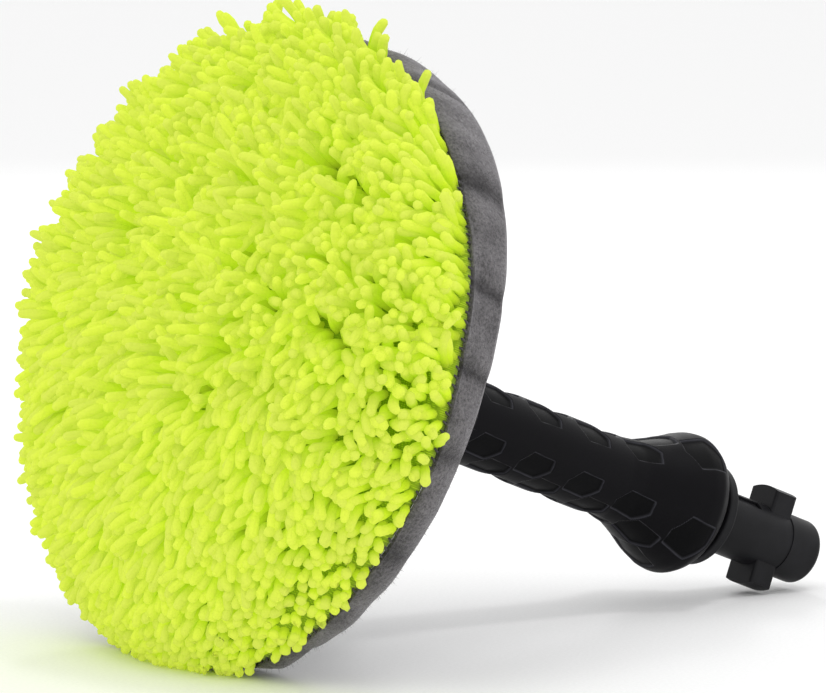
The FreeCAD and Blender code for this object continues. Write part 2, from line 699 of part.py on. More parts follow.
def lean():
    """Angle below the horizontal at which the rim and the lower lug both touch the floor."""
    rim = V(BAND_RADIUS, 0, BAND_WIDEST + 2.5)
    lug = V(LUG_RADIUS, 0, LUG_START + LUG_WALL)
    return math.atan2(rim.x - lug.x, lug.z - rim.z)


def place(pieces):
    """Lay the brush down with the handle towards +X and its box centred on the origin."""
    sine = math.sin(lean())
    cosine = math.cos(lean())
    turn = FreeCAD.Matrix(sine, 0, cosine, 0, 0, -1, 0, 0, cosine, 0, -sine, 0, 0, 0, 0, 1)
    box = FreeCAD.BoundBox()
    for shape in pieces.values():
        shape.Placement = FreeCAD.Placement(turn).multiply(shape.Placement)
        box.add(shape.optimalBoundingBox(False, False))
    move = V(-box.Center.x, -box.Center.y, -box.ZMin)
    for shape in pieces.values():
        shape.translate(move)
    return move


def main():
    pieces = all_pieces()
    move = place(pieces)
    os.makedirs("parts", exist_ok=True)
    for name, shape in pieces.items():
        shape.exportStep(os.path.join("parts", name + ".step"))
    print("seam centre at %.3f %.3f %.3f" % (move.x, move.y, move.z))
    print("lean %.4f degrees" % math.degrees(lean()))


main()
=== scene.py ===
"""Rotary wash brush: chenille bonnet on a water-driven head, honeycomb grip and twist-lock plug."""

import json
import math

import bmesh
import bpy
import numpy as np
from bpy.props import FloatProperty, FloatVectorProperty, IntProperty, PointerProperty
from mathutils import Matrix, Vector


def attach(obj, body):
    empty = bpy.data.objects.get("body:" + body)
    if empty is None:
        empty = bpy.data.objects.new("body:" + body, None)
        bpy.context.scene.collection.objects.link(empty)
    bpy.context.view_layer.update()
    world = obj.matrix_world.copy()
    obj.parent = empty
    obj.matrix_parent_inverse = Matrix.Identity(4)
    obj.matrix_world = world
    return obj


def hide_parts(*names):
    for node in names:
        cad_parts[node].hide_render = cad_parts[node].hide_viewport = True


bl_info = {
    "name": "Rotary wash brush",
    "version": (1, 0, 0),
    "blender": (4, 5, 0),
    "location": "View3D > Sidebar > Wash Brush",
    "description": "Builds the soft pieces, the grip and the finishes of a rotary wash brush",
    "category": "Object",
}

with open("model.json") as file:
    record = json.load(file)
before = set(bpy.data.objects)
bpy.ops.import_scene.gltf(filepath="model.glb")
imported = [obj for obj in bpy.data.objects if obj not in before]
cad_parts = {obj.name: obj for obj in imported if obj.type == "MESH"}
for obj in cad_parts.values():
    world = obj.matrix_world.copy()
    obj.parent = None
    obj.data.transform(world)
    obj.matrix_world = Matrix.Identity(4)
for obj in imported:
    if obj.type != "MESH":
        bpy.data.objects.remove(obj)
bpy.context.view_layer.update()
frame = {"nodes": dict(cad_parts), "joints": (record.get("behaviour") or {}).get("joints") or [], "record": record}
NODES = frame["nodes"]

HEAD = next(joint for joint in frame["joints"] if joint["name"] == "head_spin")
AXIS = Vector(HEAD["axis"])
UP = Vector((-AXIS.z, 0.0, AXIS.x))
SIDE = Vector((0.0, -1.0, 0.0))
SEAM_CENTRE = Vector(HEAD["pos_m"]) - 0.008 * AXIS

# Millimetres along (up, side, spin axis), counted from the middle of the seam, to the model's metres.
PLACE = (Matrix.Translation(SEAM_CENTRE) @ Matrix((UP, SIDE, AXIS)).transposed().to_4x4()
         @ Matrix.Scale(0.001, 4))
DOWN = Vector((-UP.z, 0.0, -AXIS.z))

FOAM_RADIUS = 92.0
FOAM_CROWN = 18.0
FOAM_EDGE = 2.0
FOAM_BACK = 3.0
SQUARENESS = 2.6
FOAM_SQUARENESS = 2.3
HEM_RADIUS = 90.9
HEM_FRONT = 15.3
HEM_BLEND = 1.5
GRIP_START = 74.4
GRIP_RADIUS = 13.25
GRIP_BORE = 11.15
GRIP_END = 178.6
BULB_LINE = [(142.0, 0.0), (148.0, 0.08), (156.1, 0.40), (163.0, 0.75), (168.4, 0.96), (172.0, 1.0),
             (175.4, 0.826), (178.6, 0.241)]
CELL_CORNERS = [(-5.2, -3.6), (-5.6, -0.2), (-2.4, 4.0), (5.2, 3.6), (5.6, 0.2), (2.4, -4.0)]
CELL_SCALE = 1.12
CELL_PITCH = 20.6
CELL_SHIFT = 7.6
FIRST_CELL = 84.3
LAST_CELL = 172.0
BAND_ANGLE = 80.0
FIRST_ROW = 41.5
ROW_ANGLE = 32.0
ROWS_EACH_WAY = 4
GOLDEN_TURN = math.pi * (3 - math.sqrt(5))
TUFT_STEPS = 8
HAIR_COUNT = 30000
STITCH_COUNT = 226


# Sizes and colours ------------------------------------------------------------------------------

class BonnetSettings(bpy.types.PropertyGroup):
    """Sizes and colours of the chenille bonnet."""

    tuft_count: IntProperty(
        name="Tufts", description="Number of chenille tufts on the face", default=3900, min=200, max=6000)
    tuft_length: FloatProperty(
        name="Tuft length", description="Length of one tuft in millimetres", default=20.0, min=5.0, max=40.0)
    tuft_width: FloatProperty(
        name="Tuft width", description="Thickness of one tuft in millimetres", default=3.0, min=1.0, max=6.0)
    seam_tilt: FloatProperty(
        name="Seam tilt",
        description="How far the seam stands ahead of its middle at the top, in millimetres",
        default=8.5, min=0.0, max=12.0)
    seam_sag: FloatProperty(
        name="Seam sag", description="How far the loose bonnet hangs down, in millimetres",
        default=4.5, min=0.0, max=6.0)
    plush_pile: FloatProperty(
        name="Plush pile", description="Length of the plush's hairs in millimetres",
        default=1.1, min=0.2, max=3.0)
    tuft_colour: FloatVectorProperty(
        name="Tuft colour", description="Fluorescent yarn, linear", subtype="COLOR", size=3,
        default=(0.50, 0.575, 0.078), min=0.0, max=1.0)
    plush_colour: FloatVectorProperty(
        name="Plush colour", description="Grey plush, linear", subtype="COLOR", size=3,
        default=(0.23, 0.218, 0.225), min=0.0, max=1.0)


class HandleSettings(bpy.types.PropertyGroup):
    """Sizes and colours of the handle."""

    cell_depth: FloatProperty(
        name="Cell depth", description="Depth of the honeycomb cells in millimetres",
        default=0.8, min=0.1, max=1.2)
    cell_edge: FloatProperty(
        name="Cell edge", description="Width of a cell's rounded edge in millimetres",
        default=0.55, min=0.1, max=1.5)
    grip_colour: FloatVectorProperty(
        name="Grip colour", description="Black rubber, linear", subtype="COLOR", size=3,
        default=(0.0050, 0.0047, 0.0060), min=0.0, max=1.0)


# Meshes -----------------------------------------------------------------------------------------

def spun(profile, steps):
    """Bmesh of a (radius, height) line turned once about the spin axis, its poles closed."""
    bm = bmesh.new()
    verts = [bm.verts.new((radius, 0.0, height)) for radius, height in profile]
    edges = [bm.edges.new(pair) for pair in zip(verts, verts[1:])]
    bmesh.ops.spin(bm, geom=verts + edges, cent=(0, 0, 0), axis=(0, 0, 1), angle=2 * math.pi, steps=steps,
                   use_merge=True)
    bmesh.ops.remove_doubles(bm, verts=bm.verts, dist=0.001)
    bmesh.ops.recalc_face_normals(bm, faces=bm.faces)
    return bm


def settle(name, bm, material, body, node=None):
    """Object of a bmesh in millimetres, in its place and riding on its body."""
    bm.transform(PLACE)
    mesh = bpy.data.meshes.new(name)
    bm.to_mesh(mesh)
    bm.free()
    mesh.materials.append(material)
    mesh.shade_smooth()
    piece = bpy.data.objects.new(name, mesh)
    bpy.context.scene.collection.objects.link(piece)
    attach(piece, body)
    if node:
        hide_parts(node)
    return piece


def smooth_step(low, high, value):
    part = np.clip((value - low) / (high - low), 0.0, 1.0)
    return part * part * (3 - 2 * part)


def soft_noise(seed, points, wave):
    """Smooth random field of three numbers per point, about one wave in size, from a few sine waves."""
    rng = np.random.default_rng(seed)
    total = np.zeros((len(points), 3))
    for _ in range(10):
        turn = rng.normal(size=3)
        turn *= 2 * math.pi / (wave * np.linalg.norm(turn)) * rng.uniform(0.6, 1.5)
        total += np.sin(points @ turn + rng.uniform(0, 2 * math.pi))[:, None] * rng.normal(size=3) / 3.2
    return total


# Materials --------------------------------------------------------------------------------------

def linear(colour):
    """sRGB hex colour as linear red, green, blue and alpha."""
    parts = [int(colour[i:i + 2], 16) / 255 for i in (1, 3, 5)]
    return [part / 12.92 if part <= 0.04045 else ((part + 0.055) / 1.055) ** 2.4 for part in parts] + [1.0]


def add(tree, kind, links=(), **settings):
    """Node of one kind, with its own settings, its inputs' values, its colour stops and its links."""
    node = tree.nodes.new(kind)
    values = settings.pop("values", {})
    stops = settings.pop("stops", [])
    for key, value in settings.items():
        setattr(node, key, value)
    for key, value in values.items():
        node.inputs[key].default_value = value
    for key, source in dict(links).items():
        tree.links.new(source, node.inputs[key])
    if stops:
        elements = node.color_ramp.elements
        while len(elements) < len(stops):
            elements.new(0.5)
        for element, (position, colour) in zip(elements, stops):
            element.position = position
            element.color = colour
    return node


def blank(name):
    """Empty material with its tree, its object coordinates and a linked-up shader."""
    material = bpy.data.materials.new(name)
    material.use_nodes = True
    tree = material.node_tree
    tree.nodes.clear()
    shader = add(tree, "ShaderNodeBsdfPrincipled")
    add(tree, "ShaderNodeOutputMaterial", {"Surface": shader.outputs["BSDF"]})
    where = add(tree, "ShaderNodeTexCoord").outputs["Object"]
    return material, tree, shader, where


def grey(share):
    """Grey that darkens what it is multiplied with to a share of it."""
    return [share, share, share, 1.0]


def chenille_yarn(colour):
    """Microfibre chenille yarn dyed a daylight-fluorescent yellow-green: matt, fuzzy and almost without
    shade, because a painted glow of its own colour shines from it without any lamp; painted shade makes
    it deeper green towards the roots, down between the tufts."""
    material, tree, shader, where = blank("chenille_yarn")
    tone = add(tree, "ShaderNodeAttribute", attribute_name="tone").outputs["Fac"]
    tone = add(tree, "ShaderNodeMath", {0: tone}, operation="MULTIPLY", values={1: 0.45}).outputs["Value"]
    along = add(tree, "ShaderNodeAttribute", attribute_name="along").outputs["Fac"]
    # Painted shade: the colour darkens towards each tuft's root, down between the tufts.
    painted_root_shade = add(tree, "ShaderNodeValToRGB", {"Fac": along},
               stops=[(0.0, linear("#90A41C")), (0.4, linear("#B0C62C")), (0.75, list(colour) + [1.0])])
    light = add(tree, "ShaderNodeMix", {"Factor": tone, 6: painted_root_shade.outputs["Color"]}, data_type="RGBA",
                blend_type="SOFT_LIGHT", values={7: linear("#DDEA80")})
    # Fibre ends about 0.35 mm apart.
    fuzz = add(tree, "ShaderNodeTexNoise", {"Vector": where},
               values={"Scale": 2800.0, "Detail": 3.0, "Roughness": 0.7}).outputs["Fac"]
    # Lumps of the yarn every 1.6 mm.
    lumps = add(tree, "ShaderNodeTexNoise", {"Vector": where}, values={"Scale": 620.0, "Detail": 1.0})
    mottle = add(tree, "ShaderNodeMix", {"Factor": fuzz, 6: light.outputs[2]}, data_type="RGBA",
                 blend_type="MULTIPLY", values={7: linear("#F8FAE6")}).outputs[2]
    tree.links.new(mottle, shader.inputs["Base Color"])
    # Painted glow: the same colour is also emitted, so the yarn shines without a lamp and its shading flattens.
    tree.links.new(mottle, shader.inputs["Emission Color"])
    coarse = add(tree, "ShaderNodeBump", {"Height": lumps.outputs["Fac"]},
                 values={"Strength": 0.5, "Distance": 0.0012})
    fine = add(tree, "ShaderNodeBump", {"Height": fuzz, "Normal": coarse.outputs["Normal"]},
               values={"Strength": 0.45, "Distance": 0.0005})
    tree.links.new(fine.outputs["Normal"], shader.inputs["Normal"])
    shader.inputs["Roughness"].default_value = 0.95
    shader.inputs["Specular IOR Level"].default_value = 0.1
    # Strength of the painted glow.
    shader.inputs["Emission Strength"].default_value = 0.52
    shader.inputs["Sheen Weight"].default_value = 0.15
    shader.inputs["Sheen Roughness"].default_value = 0.45
    shader.inputs["Sheen Tint"].default_value = linear("#E4FF8A")
    return material


def plush_velvet(colour):
    """Grey polyester velboa: short dense pile with a painted sheen, dark looked straight into and pale at a
    glancing angle, with patches where the pile has been stroked another way and faint painted shade in the
    creases."""
    material, tree, shader, where = blank("grey_plush")
    # Stroked patches about 12 mm across.
    stroke = add(tree, "ShaderNodeTexNoise", {"Vector": where},
                 values={"Scale": 85.0, "Detail": 3.0, "Roughness": 0.6}).outputs["Fac"]
    # Bundles of hair tips 0.9 mm apart, drawn coarser than the real 0.3 mm so that they show.
    hairs = add(tree, "ShaderNodeTexNoise", {"Vector": where},
                values={"Scale": 1100.0, "Detail": 4.0, "Roughness": 0.8}).outputs["Fac"]
    dark = [0.6 * part for part in colour] + [1.0]
    pale = [min(1.0, 1.3 * part) for part in colour] + [1.0]
    base = add(tree, "ShaderNodeValToRGB", {"Fac": stroke},
               stops=[(0.36, dark), (0.5, list(colour) + [1.0]), (0.64, pale)])
    # Painted sheen: the colour turns paler where the surface is seen at a glancing angle.
    facing = add(tree, "ShaderNodeLayerWeight", values={"Blend": 0.35})
    painted_sheen_rim = add(tree, "ShaderNodeMix", {"Factor": facing.outputs["Facing"], 6: base.outputs["Color"]},
              data_type="RGBA", values={7: linear("#A5A2A4")})
    tips = add(tree, "ShaderNodeValToRGB", {"Fac": hairs}, stops=[(0.36, grey(0.34)), (0.64, grey(1.0))])
    speck = add(tree, "ShaderNodeMix", {6: painted_sheen_rim.outputs[2], 7: tips.outputs["Color"]}, data_type="RGBA",
                blend_type="MULTIPLY", values={0: 1.0})
    # Painted shade: the pile is darker in the folds, and paler at the ends of single hairs.
    painted_fold_shade = add(tree, "ShaderNodeAttribute", attribute_name="painted_fold_shade").outputs["Fac"]
    half = add(tree, "ShaderNodeMath", {0: painted_fold_shade}, operation="MULTIPLY_ADD", values={1: 0.5, 2: 0.5})
    painted_fold_shade_ramp = add(tree, "ShaderNodeValToRGB", {"Fac": half.outputs["Value"]},
               stops=[(0.05, grey(1.0)), (0.5, grey(0.67)), (1.0, grey(0.27))])
    with_painted_fold_shade = add(tree, "ShaderNodeMix", {6: speck.outputs[2], 7: painted_fold_shade_ramp.outputs["Color"]}, data_type="RGBA",
                 blend_type="MULTIPLY", values={0: 1.0})
    tree.links.new(with_painted_fold_shade.outputs[2], shader.inputs["Base Color"])
    patches = add(tree, "ShaderNodeBump", {"Height": stroke}, values={"Strength": 0.35, "Distance": 0.002})
    fine = add(tree, "ShaderNodeBump", {"Height": hairs, "Normal": patches.outputs["Normal"]},
               values={"Strength": 0.6, "Distance": 0.0005})
    tree.links.new(fine.outputs["Normal"], shader.inputs["Normal"])
    shader.inputs["Roughness"].default_value = 0.95
    shader.inputs["Specular IOR Level"].default_value = 0.1
    shader.inputs["Sheen Weight"].default_value = 0.5
    shader.inputs["Sheen Roughness"].default_value = 0.4
    shader.inputs["Sheen Tint"].default_value = linear("#D8D5D9")
    return material


def woven_cloth(name, light_hex, dark_hex, thread):
    """Plain-woven polyester: two crossing sets of threads, matt, with a darker gap between threads."""
    material, tree, shader, where = blank(name)
    uv = add(tree, "ShaderNodeUVMap", uv_map="weave").outputs["UV"]
    # A wave of scale 1 repeats every 0.314 units, so this gives one wave for each thread.
    waves = 0.314 / thread
    warp = add(tree, "ShaderNodeTexWave", {"Vector": uv}, bands_direction="X", values={"Scale": waves})
    weft = add(tree, "ShaderNodeTexWave", {"Vector": uv}, bands_direction="Y", values={"Scale": waves})
    weave = add(tree, "ShaderNodeMath", {0: warp.outputs["Fac"], 1: weft.outputs["Fac"]},
                operation="MULTIPLY")
    slub = add(tree, "ShaderNodeTexNoise", {"Vector": where}, values={"Scale": 400.0, "Detail": 3.0})
    cloth = add(tree, "ShaderNodeMath", {0: weave.outputs["Value"], 1: slub.outputs["Fac"]},
                operation="MULTIPLY_ADD", values={2: 0.2}).outputs["Value"]
    skin = add(tree, "ShaderNodeValToRGB", {"Fac": cloth},
               stops=[(0.15, linear(dark_hex)), (0.7, linear(light_hex))])
    tree.links.new(skin.outputs["Color"], shader.inputs["Base Color"])
    bump = add(tree, "ShaderNodeBump", {"Height": cloth}, values={"Strength": 0.5, "Distance": 0.0003})
    tree.links.new(bump.outputs["Normal"], shader.inputs["Normal"])
    shader.inputs["Roughness"].default_value = 0.9
    shader.inputs["Specular IOR Level"].default_value = 0.15
    shader.inputs["Sheen Weight"].default_value = 0.15
    return material


def grainy_plastic(name, colour_hex, worn_hex, roughness, specular, grain, depth, bump_strength=0.25):
    """Moulded plastic with a spark-eroded grain: slightly uneven colour and gloss, with paler scuffs."""
    material, tree, shader, where = blank(name)
    fine = add(tree, "ShaderNodeTexNoise", {"Vector": where}, values={"Scale": 1.0 / grain, "Detail": 2.0})
    broad = add(tree, "ShaderNodeTexNoise", {"Vector": where},
                values={"Scale": 55.0, "Detail": 4.0, "Roughness": 0.65}).outputs["Fac"]
    skin = add(tree, "ShaderNodeValToRGB", {"Fac": broad},
               stops=[(0.42, linear(colour_hex)), (0.75, linear(worn_hex))])
    tree.links.new(skin.outputs["Color"], shader.inputs["Base Color"])
    gloss = add(tree, "ShaderNodeMapRange", {"Value": broad},
                values={"From Min": 0.3, "From Max": 0.7,
                        "To Min": roughness - 0.06, "To Max": roughness + 0.08})
    tree.links.new(gloss.outputs["Result"], shader.inputs["Roughness"])
    bump = add(tree, "ShaderNodeBump", {"Height": fine.outputs["Fac"]},
               values={"Strength": bump_strength, "Distance": depth})
    tree.links.new(bump.outputs["Normal"], shader.inputs["Normal"])
    shader.inputs["Specular IOR Level"].default_value = specular
    return material


def grip_rubber(colour):
    """Thermoplastic rubber, injection moulded: almost black, satin, with a fine matt grain, painted highlights
    along the cells' rounded edges, painted shade on the cell floors, and slightly uneven from handling."""
    material, tree, shader, where = blank("grip_rubber")
    grain = add(tree, "ShaderNodeTexNoise", {"Vector": where}, values={"Scale": 1800.0, "Detail": 2.0})
    haze = add(tree, "ShaderNodeTexNoise", {"Vector": where},
               values={"Scale": 70.0, "Detail": 5.0, "Roughness": 0.7}).outputs["Fac"]
    dust = add(tree, "ShaderNodeValToRGB", {"Fac": haze}, stops=[(0.35, grey(0.75)), (0.75, grey(1.0))])
    # Painted shade and highlight: the cell floors are painted darker as shade, and their rounded edges are painted
    # paler as highlights.
    cell = add(tree, "ShaderNodeAttribute", attribute_name="cell").outputs["Fac"]
    skin = add(tree, "ShaderNodeValToRGB", {"Fac": cell},
               stops=[(0.02, list(colour) + [1.0]), (0.2, linear("#3E3E44")), (0.55, linear("#2A2A2E")),
                      (0.92, linear("#08080A"))])
    surface = add(tree, "ShaderNodeMix", {6: skin.outputs["Color"], 7: dust.outputs["Color"]},
                  data_type="RGBA", blend_type="MULTIPLY", values={0: 1.0})
    tree.links.new(surface.outputs[2], shader.inputs["Base Color"])
    gloss = add(tree, "ShaderNodeMapRange", {"Value": haze},
                values={"From Min": 0.3, "From Max": 0.7, "To Min": 0.36, "To Max": 0.5})
    tree.links.new(gloss.outputs["Result"], shader.inputs["Roughness"])
    bump = add(tree, "ShaderNodeBump", {"Height": grain.outputs["Fac"]},
               values={"Strength": 0.16, "Distance": 0.0002})
    tree.links.new(bump.outputs["Normal"], shader.inputs["Normal"])
    shader.inputs["IOR"].default_value = 1.5
    shader.inputs["Specular IOR Level"].default_value = 0.075
    return material


def turned_metal(name, colour_hex, dark_hex, roughness, line):
    """Turned or sintered metal: fine marks, colour a little uneven, satin reflections."""
    material, tree, shader, where = blank(name)
    marks = add(tree, "ShaderNodeTexNoise", {"Vector": where},
                values={"Scale": 1.0 / line, "Detail": 3.0, "Roughness": 0.6}).outputs["Fac"]
    skin = add(tree, "ShaderNodeValToRGB", {"Fac": marks},
               stops=[(0.35, linear(dark_hex)), (0.65, linear(colour_hex))])
    tree.links.new(skin.outputs["Color"], shader.inputs["Base Color"])
    gloss = add(tree, "ShaderNodeMapRange", {"Value": marks},
                values={"From Min": 0.3, "From Max": 0.7,
                        "To Min": roughness - 0.05, "To Max": roughness + 0.1})
    tree.links.new(gloss.outputs["Result"], shader.inputs["Roughness"])
    bump = add(tree, "ShaderNodeBump", {"Height": marks}, values={"Strength": 0.1, "Distance": 0.0001})
    tree.links.new(bump.outputs["Normal"], shader.inputs["Normal"])
    shader.inputs["Metallic"].default_value = 1.0
    return material


def open_foam():
    """Open-cell polyurethane foam: pale, with a cell every millimetre and darker pores."""
    material, tree, shader, where = blank("open_cell_foam")
    cells = add(tree, "ShaderNodeTexVoronoi", {"Vector": where}, values={"Scale": 900.0}).outputs["Distance"]
    skin = add(tree, "ShaderNodeValToRGB", {"Fac": cells},
               stops=[(0.1, linear("#77776C")), (0.55, linear("#C9C8B8"))])
    tree.links.new(skin.outputs["Color"], shader.inputs["Base Color"])
    bump = add(tree, "ShaderNodeBump", {"Height": cells}, values={"Strength": 0.7, "Distance": 0.0008})
    tree.links.new(bump.outputs["Normal"], shader.inputs["Normal"])
    shader.inputs["Roughness"].default_value = 0.95
    shader.inputs["Specular IOR Level"].default_value = 0.1
    return material


# Bonnet -----------------------------------------------------------------------------------------

def off_the_floor(lines, gap):
    """Lines pushed up to at least a gap above the floor, in millimetres on the model's own axes."""
    matrix = np.array(PLACE)
    height = lines @ matrix[2, :3] + matrix[2, 3]
    lift = np.maximum(gap / 1000 - height, 0.0)
    return lines + lift[..., None] * 1000 * -np.array(DOWN)


def seam_line(turn, settings):
    """Radius and height of the tilted, sagging seam at an angle from straight up."""
    radius = 94.3 - settings.seam_sag * np.cos(turn) + 0.5 * np.sin(5 * turn + 1.0) + 0.35 * np.sin(11 * turn)
    height = 0.5 - settings.seam_tilt * np.cos(turn) + 2.5 * np.sin(turn) + 0.4 * np.sin(7 * turn + 0.6)
    return radius, height


def face_points(part, turn, settings):
    """Points of the domed base cloth: part runs from 0 at the middle to 1 at the seam."""
    edge, height = seam_line(turn, settings)
    part = np.clip(part, 0.0, 1.0)
    crown = FOAM_CROWN + 1.2
    radius = edge * np.sin(part * math.pi / 2) ** (2 / SQUARENESS)
    rise = (height + crown) * np.maximum(np.cos(part * math.pi / 2), 0.0) ** (2 / SQUARENESS)
    points = np.stack([radius * np.cos(turn), radius * np.sin(turn), height - rise], axis=-1)
    return off_the_floor(points, 2.0)


def face_spots(count, settings):
    """Even spread of (part, turn) over the base cloth, as on a sunflower, a little disturbed."""
    rng = np.random.default_rng(7)
    parts = np.linspace(0.0, 1.0, 400)
    outline = face_points(parts, np.full(400, 1.4), settings)
    radius = np.hypot(outline[:, 0], outline[:, 1])
    steps = np.linalg.norm(np.diff(outline, axis=0), axis=1)
    area = np.concatenate([[0.0], np.cumsum(steps * (radius[1:] + radius[:-1]) / 2)])
    share = (np.arange(count) + 0.5) / count * 0.985
    part = np.interp(share * area[-1], area, parts)
    away = radius[np.searchsorted(parts, part) - 1]
    turn = np.arange(count) * GOLDEN_TURN + rng.normal(scale=0.25, size=count) / np.maximum(away / 3, 1)
    return part, turn


def tuft_lines(settings):
    """Centre lines of all tufts, 9 points each, and a random tone for each."""
    rng = np.random.default_rng(11)
    count = settings.tuft_count
    part, turn = face_spots(count, settings)
    base = face_points(part, turn, settings)
    along = face_points(part + 0.004, turn, settings) - face_points(part - 0.004, turn, settings)
    across = face_points(part, turn + 0.004, settings) - face_points(part, turn - 0.004, settings)
    normal = np.cross(across, along)
    normal /= np.linalg.norm(normal, axis=1)[:, None]
    normal *= np.where(normal[:, 2:3] > 0.3, -1.0, 1.0)
    radial = np.stack([np.cos(turn), np.sin(turn), np.zeros(count)], axis=1)
    out = np.clip(np.hypot(base[:, 0], base[:, 1]) / 94.0, 0, 1)[:, None]
    down = np.array(DOWN)
    forward = np.array((0.0, 0.0, -1.0))
    clump = soft_noise(3, base, 26.0)
    stray = rng.normal(size=(count, 3))
    low = np.clip(0.2 - 1.1 * np.cos(turn), 0.0, 1.0)[:, None] * out ** 2
    high = np.clip(np.cos(turn), 0.0, 1.0)[:, None] * out ** 2
    far = np.clip(-np.sin(turn), 0.0, 1.0)[:, None] * out ** 2
    near = np.clip(np.sin(turn), 0.0, 1.0)[:, None] * out ** 6
    start = (0.5 * normal + (0.8 - 0.55 * low) * forward
             + (0.35 * out - 0.15 * out ** 6 - 0.2 * high) * radial + 0.4 * low * (1 - near) * down
             + 0.12 * clump + 0.14 * stray)
    finish = ((0.5 - 0.4 * low + 0.3 * near + 0.3 * high) * forward
              + radial * (0.15 + 0.85 * out - 0.3 * out ** 6 - 0.25 * high) * (1 - 0.55 * near)
              + (0.45 + 0.3 * low) * (1 - 0.85 * near) * down
              + 0.34 * clump + 0.3 * stray)
    start /= np.linalg.norm(start, axis=1)[:, None]
    finish /= np.linalg.norm(finish, axis=1)[:, None]
    length = settings.tuft_length * (1.0 + 0.12 * rng.normal(size=count).clip(-2, 2))[:, None]
    length = length * (1.0 - 0.18 * out ** 8 - 0.38 * low - 0.18 * low * out ** 8 - 0.16 * high
                       - 0.12 * far - 0.1 * near)
    sway = rng.normal(size=(count, 3))
    phase = rng.uniform(0, 2 * math.pi, size=count)[:, None]
    lines = np.zeros((count, TUFT_STEPS + 1, 3))
    for step in range(TUFT_STEPS + 1):
        reach = step / TUFT_STEPS
        wave = 0.55 * reach * np.sin(phase + 6.5 * reach) * sway
        course = start * (reach - reach ** 2 / 2) + finish * reach ** 2 / 2
        lines[:, step] = base + length * course * 1.05 + wave
    return lines, rng.uniform(size=count), rng


def tuft_shape():
    """One tuft as a rounded rod of 56 faces, standing on the origin and 1 long and 1 wide."""
    bm = bmesh.new()
    bmesh.ops.create_uvsphere(bm, u_segments=7, v_segments=8, radius=0.5)
    rows = [(0.0, 0.0), (0.02, 0.9), (0.22, 1.0), (0.42, 0.98), (0.62, 1.0), (0.82, 1.02), (0.94, 0.9),
            (0.985, 0.55), (1.0, 0.0)]
    for vert in bm.verts:
        row = round(math.acos(max(-1.0, min(1.0, -vert.co.z * 2))) / math.pi * 8)
        reach, width = rows[row]
        flat = math.hypot(vert.co.x, vert.co.y)
        if flat > 1e-6:
            vert.co.x *= 0.5 * width / flat
            vert.co.y *= 0.5 * width / flat
        vert.co.z = reach
    mesh = bpy.data.meshes.new("tuft_shape")
    bm.to_mesh(mesh)
    bm.free()
    return mesh


def bent(shape, lines, widths, lumps):
    """Points of the shape bent along each line: (tufts, points, 3)."""
    count = len(lines)
    reach = shape[:, 2] * TUFT_STEPS
    low = np.minimum(reach.astype(int), TUFT_STEPS - 1)
    part = (reach - low)[None, :, None]
    spine = lines[:, low] * (1 - part) + lines[:, low + 1] * part
    heading = lines[:, low + 1] - lines[:, low]
    heading /= np.linalg.norm(heading, axis=2)[..., None]
    upright = np.abs(lines[:, -1:, 2] - lines[:, :1, 2])[..., None] > 12
    other = np.where(upright, [[[1.0, 0.0, 0.0]]], [[[0.0, 0.0, 1.0]]])
    right = np.cross(heading, np.broadcast_to(other, heading.shape))
    right /= np.linalg.norm(right, axis=2)[..., None]
    ahead = np.cross(heading, right)
    width = widths[:, None, None] * (1 + lumps[:, low][..., None])
    return spine + width * (right * shape[None, :, 0:1] + ahead * shape[None, :, 1:2]).reshape(count, -1, 3)


def copies(shape_mesh, count):
    """Bmesh of many copies of one shape, to be placed point by point later."""
    bm = bmesh.new()
    for _ in range(count):
        bm.from_mesh(shape_mesh)
    return bm


def place(piece, points):
    """Puts a piece's points where they are given, in millimetres on the model's own axes."""
    matrix = np.array(PLACE)
    world = points.reshape(-1, 3) @ matrix[:3, :3].T + matrix[:3, 3]
    piece.data.vertices.foreach_set("co", world.astype(np.float32).ravel())
    piece.data.update()


def keep(piece, name, values):
    """Keeps one number for each point of a piece, for its material."""
    layer = piece.data.attributes.new(name, "FLOAT", "POINT")
    layer.data.foreach_set("value", np.asarray(values, dtype=np.float32))


def tuft_piece(name, shape_mesh, lines, tones, material, settings, rng):
    """One object of many bent tufts, each with its tone and the way along it kept for the yarn."""
    piece = settle(name, copies(shape_mesh, len(lines)), material, "mop_head")
    shape = np.array([vert.co[:] for vert in shape_mesh.vertices])
    widths = settings.tuft_width * rng.uniform(0.92, 1.06, size=len(lines))
    lumps = rng.normal(scale=0.07, size=(len(lines), TUFT_STEPS + 1))
    place(piece, bent(shape, lines, widths, lumps))
    keep(piece, "tone", np.repeat(tones, len(shape)))
    keep(piece, "along", np.tile(shape[:, 2], len(lines)))
    return piece


class WASHBRUSH_OT_foam(bpy.types.Operator):
    """Foam core between the plate and the bonnet"""
    bl_idname = "washbrush.foam"
    bl_label = "Foam Pad"

    def execute(self, context):
        profile = []
        for step in range(15):
            turn = math.pi / 2 * step / 14
            radius = (FOAM_RADIUS - 2.0) * math.sin(turn) ** (2 / FOAM_SQUARENESS)
            rise = (FOAM_CROWN - FOAM_EDGE - 0.5) * math.cos(turn) ** (2 / FOAM_SQUARENESS)
            profile.append((radius, -FOAM_EDGE - rise))
        profile += [(FOAM_RADIUS - 2.0, FOAM_BACK - 1.0), (FOAM_RADIUS - 3.0, FOAM_BACK), (15.0, FOAM_BACK),
                    (15.0, FOAM_BACK - 2.5), (0.0, FOAM_BACK - 2.5)]
        piece = settle("foam_core", spun(profile, 96), open_foam(), "mop_head", "foam_pad")
        return {"FINISHED"}


